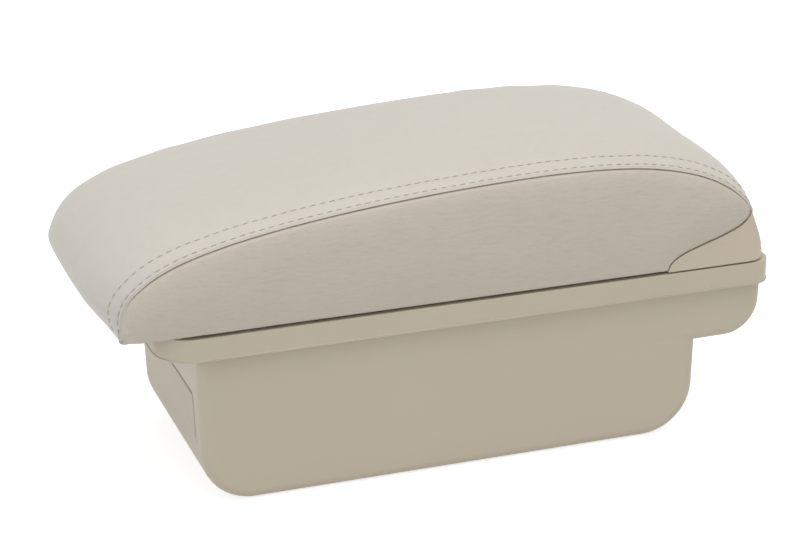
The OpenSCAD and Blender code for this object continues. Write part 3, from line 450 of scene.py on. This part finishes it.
def leather_lift():
    """Displacement of the coarse skin under pressure, in millimetres: near side, crown, far side."""
    near = side_points(coarse, coarse_side, -1)
    crown = crown_points(coarse, coarse_cross)
    far = side_points(coarse, coarse_side[::-1], 1)
    skin = np.concatenate([near, crown[:, 1:-1], far], 1)
    rows, columns = skin.shape[:2]
    piece = mesh_piece("pressed_skin", skin, grid_faces(rows, columns))
    held = [i * columns + j for i in range(rows) for j in range(columns)
            if i in (0, rows - 1) or j in (0, side_columns - 1, columns - side_columns, columns - 1)]
    group = piece.vertex_groups.new(name="held")
    group.add(held, 1.0, "REPLACE")
    cloth = piece.modifiers.new("pressed", "CLOTH")
    settings = cloth.settings
    settings.quality = 8
    settings.mass = 0.3
    settings.tension_stiffness = 25
    settings.compression_stiffness = 25
    settings.shear_stiffness = 10
    settings.bending_stiffness = 0.4
    settings.shrink_min = -0.012
    settings.use_pressure = True
    settings.uniform_pressure_force = pressure
    settings.vertex_group_mass = "held"
    settings.effector_weights.gravity = 0
    for frame_number in range(1, pressed_frames + 1):
        scene.frame_set(frame_number)
    swollen = piece.evaluated_get(bpy.context.evaluated_depsgraph_get()).to_mesh()
    moved = np.array([v.co for v in swollen.vertices]).reshape(skin.shape) / MM - skin
    scene.frame_set(1)
    bpy.data.objects.remove(piece)
    size = np.linalg.norm(moved, axis=-1, keepdims=True)
    moved *= swell_cap * np.tanh(size / swell_cap) / np.maximum(size, 1e-9)
    print("leather lift in mm: mean", float(size.mean()), "largest", float(size.max()))
    return [moved[:, :side_columns], moved[:, side_columns - 1:1 - side_columns],
            moved[:, -side_columns:][:, ::-1]]


def between(runs, values, spots):
    """Values known row by row at some places, read at others."""
    columns = values.reshape(len(runs), -1).T
    read = np.stack([np.interp(spots, runs, column) for column in columns], -1)
    return read.reshape(len(spots), *values.shape[1:])


def spread(field, runs, shares, marks):
    """Coarse displacement read at fine places along and across, and smoothed."""
    coarse_marks = between(runs, marks, coarse.run)
    across = np.stack([between(shares, row, row_marks) for row, row_marks in zip(field, coarse_marks)])
    even = np.linspace(0, seam_length, int(seam_length / swell_step) + 1)
    smooth = between(coarse.run, across, even)
    for _ in range(smooth_passes):
        smooth[1:-1] = (smooth[:-2] + 2 * smooth[1:-1] + smooth[2:]) / 4
        smooth[:, 1:-1] = (smooth[:, :-2] + 2 * smooth[:, 1:-1] + smooth[:, 2:]) / 4
    return between(even, smooth, runs)


near_lift, crown_lift, far_lift = leather_lift()


# Leather: polyurethane-coated artificial leather, embossed with a fine pebble grain and stretched
# over foam. It has a low sheen, grain pebbles near 1 mm and faint creases where it turns, with painted shade
# in the creases' valleys.
def coated_leather(name, light, dark, crease_depth=0.12, painted_crease_shade=0.01, level=(1.0, 1.0, 1.0)):
    """Artificial leather: pebbles 1.1 mm across, over creases 5 mm long, with painted shade in their
    valleys.
    """
    made, tree, shader, place = mottled(name, light, dark, 45, Roughness=0.5, IOR=1.45)
    tone = shader.inputs["Base Color"].links[0].from_socket
    bend = patches(tree, place, 2.5, 2.0)
    wander = add(tree, "VectorMath", {0: bend.outputs["Color"], "Scale": 0.6 * MM}, operation="SCALE")
    warped = add(tree, "VectorMath", {0: place, 1: wander.outputs[0]}, operation="ADD")
    pebble = add(tree, "TexVoronoi", {"Vector": warped.outputs[0], "Scale": 1000 / 1.1},
                 feature="SMOOTH_F1")
    drawn = add(tree, "VectorMath", {0: place, 1: level}, operation="MULTIPLY")
    crease = patches(tree, drawn.outputs[0], 5, 5.0, 0.5)
    soft = emboss(tree, crease.outputs["Fac"], crease_depth)
    # Painted shade: the colour is darkened in the creases' valleys, where shade would fall.
    valley = add(tree, "MapRange", {"Value": crease.outputs["Fac"], "From Min": 0.32, "From Max": 0.52,
                                    "To Min": 1 - 2 * painted_crease_shade, "To Max": 1.0})
    shaded = add(tree, "VectorMath", {0: tone, "Scale": valley.outputs[0]}, operation="SCALE")
    tree.links.new(shaded.outputs[0], shader.inputs["Base Color"])
    tree.links.new(emboss(tree, pebble.outputs["Distance"], 0.035, soft), shader.inputs["Normal"])
    gloss = add(tree, "MapRange", {"Value": pebble.outputs["Distance"], "To Min": 0.44, "To Max": 0.58})
    tree.links.new(gloss.outputs[0], shader.inputs["Roughness"])
    return made


# Painted light and shade: the top and side panels are one leather, drawn as a lighter copy on the top, which
# faces the lamps, and a darker copy on the sides.
lit_top_leather = coated_leather("coated_leather_top_painted_light", "#d7d2c8", "#d3cdc2")
shaded_side_leather = coated_leather("coated_leather_side_painted_shade", "#d1c9bb", "#ccc3b5", 0.2, 0.025,
                              (1.0, 1.0, 4.5))


# Top cover: one leather panel over the crown, the front and the rear edge. It is turned in along
# both side seams, where it stands proud of the side panels, and is pulled down by two rows of stitches.
fine = Rings(0.8, (-0.3, 0, 0.15, 0.35, 0.6, 0.9, 1.3, 1.8))
# over the first 4 mm from the front foot, the roll and the tuck at the seam come out from a quarter
foot_fade = np.clip(fine.run / 4, 0.25, 1)[:, None]
# stitch rows: distances from the seam, stitch length with its gap, and the depth and half width of the
# furrow along each row and of the wider band round it
rows_from_seam = (1.9, 7.2)
pitch = 4.3
row_dip, row_width = 0.13, 0.55
band_dip, band_width = 0.05, 1.9
# edge at the seam: radius of its roll, and the angles of the roll's columns
edge_roll = 0.35
roll_turns = np.radians((35, 70, 105, 140, 170))
# distances of the columns from the seam, closer at the stitch rows, then even ones to the middle
near_edge = [0, 0.3, 0.7, 1.1, 1.5, 1.7, 1.9, 2.1, 2.4, 2.9, 3.6, 4.5, 5.5, 6.3, 6.8, 7.0, 7.2, 7.4, 7.7,
             8.2, 9.0, 10.2, 11.8, 13.8, 16.2, 19.0, 22.4]
middle_steps = 9
far_off = 99.0
# ends: how far the rear end stops before the parting line's tip and over it, the front's turn-in, and
# how far each end goes on in its own direction and in its goal's
rear_short, rear_over = 2.2, 0.7
front_turn_in = 4.5
end_pull, goal_pull = 0.55, 0.35


def closed_sheet(name, outer, inner):
    """Sheet between an outer and an inner grid of points, closed along its edges."""
    rows, columns = outer.shape[:2]
    size = rows * columns
    faces = grid_faces(rows, columns)
    faces += [[size + i for i in reversed(face)] for face in grid_faces(rows, columns)]
    border = ([j for j in range(columns)] + [i * columns + columns - 1 for i in range(1, rows)]
              + [(rows - 1) * columns + j for j in range(columns - 2, -1, -1)]
              + [i * columns for i in range(rows - 2, 0, -1)])
    faces += [[b, a, a + size, b + size] for a, b in zip(border, border[1:] + border[:1])]
    piece = mesh_piece(name, np.concatenate([outer.reshape(-1, 3), inner.reshape(-1, 3)]), faces)
    body = bmesh.new()
    body.from_mesh(piece.data)
    bmesh.ops.recalc_face_normals(body, faces=body.faces)
    body.to_mesh(piece.data)
    body.free()
    return piece


def surface_normals(grid):
    """Unit normals of a grid of points, to the left of its rows and columns."""
    across = np.cross(np.gradient(grid, axis=0), np.gradient(grid, axis=1))
    return across / np.maximum(np.linalg.norm(across, axis=-1, keepdims=True), 1e-9)


def ripple(points, stretch, seed):
    """Smooth noise from -1 to 1 at points, with a size in millimetres along each axis."""
    flat = points.reshape(-1, 3) / np.array(stretch)
    return np.array([noise.noise(Vector(p) + Vector((seed, 0, 0))) for p in flat]).reshape(points.shape[:-1])


def cross_marks(rings):
    """Places across each ring for columns at set distances from the seam, to the middle."""
    v = np.linspace(1, 0, 161)
    out = rings.swell[:, None] * (1 - v ** crown_flat)
    side = rings.half[:, None] * v
    run = np.concatenate([np.zeros((len(rings.run), 1)), np.cumsum(np.hypot(
        np.diff(out, axis=1), np.diff(side, axis=1)), axis=1)], 1)
    marks = []
    for i in range(len(rings.run)):
        distances = near_edge + list(np.linspace(near_edge[-1], run[i, -1], middle_steps + 1)[1:])
        marks.append(np.interp(distances, run[i], v))
    return np.array(marks)


half_marks = cross_marks(fine)
marks = np.concatenate([-half_marks, half_marks[:, -2::-1]], 1)
from_seam = np.array(near_edge + [far_off] * middle_steps)
from_seam = np.concatenate([from_seam, from_seam[-2::-1]])
crown_skin = crown_points(fine, marks)
crown_skin = crown_skin + spread(crown_lift, fine.run, coarse_cross, marks)
crown_out = surface_normals(crown_skin)
stitch_wave = 0.5 + 0.5 * np.cos(2 * math.pi * fine.run / pitch)
furrow = sum(np.exp(-((from_seam - d) / row_width) ** 2) for d in rows_from_seam)[None, :]
band = sum(np.exp(-((from_seam - d) / band_width) ** 2) for d in rows_from_seam)[None, :]
# waves: height times noise of a length along each axis, all in millimetres
broad_wave = 0.1 * ripple(crown_skin, (48, 38, 48), 3.7)
small_wave = 0.04 * ripple(crown_skin, (11, 11, 11), 9.1) * (1 + 1.5 * band)
pulled_in = row_dip * furrow * (0.35 + 0.65 * stitch_wave[:, None])
lift = broad_wave + small_wave - pulled_in - band_dip * band
lift[0] = lift[-1] = 0
crown_skin = crown_skin + crown_out * lift[..., None]


def rolled_edge(grid, out, hand):
    """Columns that carry the panel's edge round a small radius and in under itself."""
    column = 0 if hand < 0 else -1
    edge, up = grid[:, column], out[:, column]
    aside = np.cross(up, np.stack([fine.along[:, 0], np.zeros(len(edge)), fine.along[:, 1]], -1))
    aside *= (np.sign(aside[:, 1]) * hand)[:, None]
    turned = [edge + edge_roll * foot_fade * (np.sin(t) * aside - (1 - np.cos(t)) * up)
              for t in roll_turns]
    return np.stack(turned, 1)


near_roll = rolled_edge(crown_skin, crown_out, -1)[:, ::-1]
far_roll = rolled_edge(crown_skin, crown_out, 1)
top_skin = np.concatenate([near_roll, crown_skin, far_roll], 1)


def end_rows(row, along, goal, steps):
    """Rows that carry a panel's end on along its own direction and round to a straight goal line."""
    reach = np.linalg.norm(goal - row, axis=-1, keepdims=True)
    t = np.linspace(0, 1, steps + 1)[1:, None, None]
    a, b = row + along * reach * end_pull, goal + np.array((0.0, 0, goal_pull)) * reach
    return (1 - t) ** 3 * row + 3 * (1 - t) ** 2 * t * a + 3 * (1 - t) * t * t * b + t ** 3 * goal


rear_goal = top_skin[-1].copy()
rear_goal[:, 0] = part_end[0] - rear_short
rear_goal[:, 2] = np.interp(part_end[0] - rear_short, parting[:, 0], parting[:, 1]) + rear_over
rear_along = np.array((fine.along[-1, 0], 0, fine.along[-1, 1]))
rear_rows = end_rows(top_skin[-1], rear_along, rear_goal, 8)
front_goal = top_skin[0].copy()
front_goal[:, 0] += front_turn_in
front_goal[:, 2] = pad_low
front_rows = end_rows(top_skin[0], np.array((0.0, 0, -0.2)), front_goal, 5)[::-1]
top_skin = np.concatenate([front_rows, top_skin, rear_rows])
top_inner = top_skin - surface_normals(top_skin) * leather_t
leather_top = closed_sheet("leather_top", top_skin, top_inner)
leather_top.data.materials.append(lit_top_leather)
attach(leather_top, "pad")
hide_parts("top_cover")


# Side panels: one leather panel on each side, sewn in under the top cover's rolled edge and turned
# in under the base. Each swells out just below the seam, so its upper part turns to the light.
foot_round, foot_turn_in = 1.2, 4.0
# tuck under the rolled edge, and the depth of the groove it leaves
tuck, groove = 1.7, 1.1
# swell below the seam, from which height on it is full, and the depth over which it grows, which gets
# larger towards the front, over front_fall along the seam
seam_swell, swell_tall = 2.2, 30
swell_reach, front_reach, front_fall = 4.0, 5, 60
# distances of the rows below the seam and above the foot, with even ones between them
from_top = [0, 0.3, 0.6, 0.85, 1.0, 1.15, 1.35, 1.7, 2.4, 3.5, 5.0, 7.0, 9.6, 12.6]
from_foot = [2.6, 1.5, 0.8, 0.35, 0.1, 0]
middle_rows = 9
# height below which all rows draw together, and how far the middle ones may keep their own places
short_panel, least_panel, give = 24.0, 19, 0.1


def panel_drops(tall, eased):
    """Distances below the seam for one column of a side panel; only its foot follows a sudden step."""
    full = max(tall, short_panel)
    room = give * (full - least_panel)
    middle = np.linspace(from_top[-1], np.clip(eased, full - room, full + room) - from_foot[0],
                         middle_rows + 2)[1:-1]
    drops = np.concatenate([from_top, middle, full - np.array(from_foot)])
    return drops * min(1, tall / short_panel)


def side_panel(hand, lift_field, name, cad_node):
    """Leather side panel on one side of the pad."""
    drops = np.array([panel_drops(t, e) for t, e in zip(fine.tall, fine.eased_tall)])
    share = 1 - drops / fine.tall[:, None]
    skin = side_points(fine, share, hand)
    skin = skin + spread(lift_field, fine.run, coarse_side, fine.eased(share))
    scale = np.minimum(1, fine.tall / swell_tall)[:, None]
    near_front = np.exp(-fine.run / front_fall)[:, None]
    reach = swell_reach + front_reach * near_front
    bulge = seam_swell * scale * (1 - np.exp(-drops / reach)) * (1 - (1 - fine.eased(share)) ** 3)
    under = tuck * foot_fade / (1 + (drops / groove) ** 6)
    above = np.minimum(foot_round, fine.tall[:, None] - drops)
    rounding = corner_cut(foot_round - above, foot_round)
    flat_place = np.stack([np.broadcast_to(fine.run[:, None], drops.shape), drops, 0 * drops], -1)
    below_seam = np.exp(-((drops - 4) / 6) ** 2)
    crease = (0.12 + 0.8 * near_front) * ripple(flat_place, (2.4, 15, 1), 5.5 + hand) * below_seam
    wave = 0.2 * ripple(skin, (42, 30, 22), 2.0 + hand) + 0.1 * ripple(skin, (13, 13, 7), 7.7 + hand)
    inside = under + rounding - bulge - (crease + wave) * scale * np.minimum(1, drops / 2)
    skin[..., 1] -= hand * inside
    turned = skin[:, -1:].copy()
    turned[..., 1] -= hand * foot_turn_in
    skin = np.concatenate([skin, turned], 1)
    inner = skin + surface_normals(skin) * leather_t * -hand
    piece = closed_sheet(name, skin, inner)
    piece.data.materials.append(shaded_side_leather)
    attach(piece, "pad")
    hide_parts(cad_node)


side_panel(-1, near_lift, "leather_side_right", "side_cover_right")
side_panel(1, far_lift, "leather_side_left", "side_cover_left")


# Stitches: two rows of bonded polyester thread above each side seam, 1.9 mm and 7.2 mm from it, sewn
# through the turned-in leather with a stitch length of 4.3 mm. The thread is a shade browner, and the
# needle holes at its ends are small dimples in a dark colour, painted shade for the inside of each hole.
row_start, row_end = 4.5, 1
# thread: radius, its share at the ends, length between two holes, height over the leather and drop
thread_r, thin_end = 0.14, 0.75
stitch_len = 3.5
thread_arch, thread_drop = 0.16, 0.6
thread_steps = 7
# holes: radius, then the share of it and the height of each of the dimple's three rings
hole_r = 0.3
hole_rings = ((1.0, -0.1), (1.0, 0.02), (0.35, -0.06))
tube_sides = 6
tube_turns = [i * 2 * math.pi / tube_sides for i in range(tube_sides)]


def sewn_thread():
    """Bonded thread: a slight gloss, twisted strands drawn at 0.5 mm."""
    made, tree, shader, place = mottled("bonded_thread", "#bbaf9d", "#afa392", 9, Roughness=0.55)
    strand = patches(tree, place, 0.5, 1.0)
    tree.links.new(emboss(tree, strand.outputs["Fac"], 0.08), shader.inputs["Normal"])
    return made


def row_line(hand, distance):
    """Line of one stitch row on the crown, with its normals."""
    column = near_edge.index(distance)
    if hand > 0:
        column = crown_skin.shape[1] - 1 - column
    return crown_skin[:, column], crown_out[:, column]


def ring_at(centre, radius, across, up):
    """Points of a ring round a centre, in the plane of two directions."""
    return [centre + radius * (math.cos(turn) * across + math.sin(turn) * up) for turn in tube_turns]


def add_tube(points, faces, rings):
    """Adds a tube through rings of points, closed at both ends."""
    start = len(points)
    for ring in rings:
        points.extend(ring)
    last = len(points) - tube_sides
    for first in range(start, last, tube_sides):
        for j in range(tube_sides):
            a, b = first + j, first + (j + 1) % tube_sides
            faces.append([a, b, b + tube_sides, a + tube_sides])
    faces.append([start + j for j in reversed(range(tube_sides))])
    faces.append([last + j for j in range(tube_sides)])


def stitch_rows(hand, name):
    """Both stitch rows on one side of the crown, with a dimple in painted shade where the needle went in."""
    points, faces = [], []
    hole_points, hole_faces = [], []
    for distance in rows_from_seam:
        line, line_up = row_line(hand, distance)
        run = run_along(line)
        count = int((run[-1] - row_start - row_end) / pitch)
        for k in range(count):
            spots = row_start + k * pitch + stitch_len * np.linspace(-0.5, 0.5, thread_steps)
            here = between(run, line, spots)
            up = between(run, line_up, spots)
            along = here[-1] - here[0]
            along /= np.linalg.norm(along)
            aside = np.cross(up, along)
            hole = between(run, line, [row_start + (k + 0.5) * pitch])[0]
            add_tube(hole_points, hole_faces, [
                ring_at(hole + height * up[-1], hole_r * size, along, aside[-1])
                for size, height in hole_rings])
            arch = thread_arch - thread_drop * np.abs(np.linspace(-1, 1, thread_steps)) ** 4
            heart = here + up * arch[:, None]
            radii = [thread_r * thin_end] + [thread_r] * (thread_steps - 2) + [thread_r * thin_end]
            add_tube(points, faces, [ring_at(*ring) for ring in zip(heart, radii, aside, up)])
    sewn = mesh_piece("stitches_" + name, points, faces)
    sewn.data.materials.append(thread)
    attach(sewn, "pad")
    # Painted shade: a small dark dimple at each needle hole stands for the shade inside it.
    punched = mesh_piece("needle_holes_painted_shade_" + name, hole_points, hole_faces)
    punched.data.materials.append(hole_painted_shade)
    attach(punched, "pad")


thread = sewn_thread()
# Painted shade: a dark leather colour for the needle-hole dimples, standing for the shade inside each hole.
hole_painted_shade = coated_leather("needle_hole_painted_shade", "#5f574a", "#575043")
stitch_rows(-1, "right")
stitch_rows(1, "left")


# Foam: one moulded block of open-cell polyurethane, glued to the base under the leather. Its skin is
# dull yellow with small open cells.
def moulded_foam():
    """Open-cell foam: cells near 0.8 mm, drawn at 1.2 mm, and a soft matte yellow."""
    made, tree, shader, place = mottled("moulded_pu_foam", "#ddd3a4", "#d0c48f", 25, Roughness=0.95)
    cells = add(tree, "TexVoronoi", {"Vector": place, "Scale": 1000 / 1.2})
    tree.links.new(emboss(tree, cells.outputs["Distance"], 0.25), shader.inputs["Normal"])
    return made


mesh_size = 3.0
# the skin lies a little inside the solid, clear of the leather, and is slightly uneven
skin_in, uneven, uneven_size = 0.8, 0.3, 12
foam_block = bpy.data.objects.new("foam_block", nodes["foam_pad"].data.copy())
scene.collection.objects.link(foam_block)
remesh = foam_block.modifiers.new("even_mesh", "REMESH")
remesh.mode = "VOXEL"
remesh.voxel_size = mesh_size * MM
even_mesh = bpy.data.meshes.new_from_object(foam_block.evaluated_get(bpy.context.evaluated_depsgraph_get()))
foam_block.modifiers.clear()
foam_block.data = even_mesh
even_mesh.shade_smooth()
body = bmesh.new()
body.from_mesh(even_mesh)
for vertex in body.verts:
    sunk = skin_in + uneven * noise.noise(vertex.co / (uneven_size * MM))
    vertex.co -= vertex.normal * sunk * MM
body.to_mesh(even_mesh)
body.free()
even_mesh.materials.clear()
even_mesh.materials.append(moulded_foam())
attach(foam_block, "pad")
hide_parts("foam_pad")
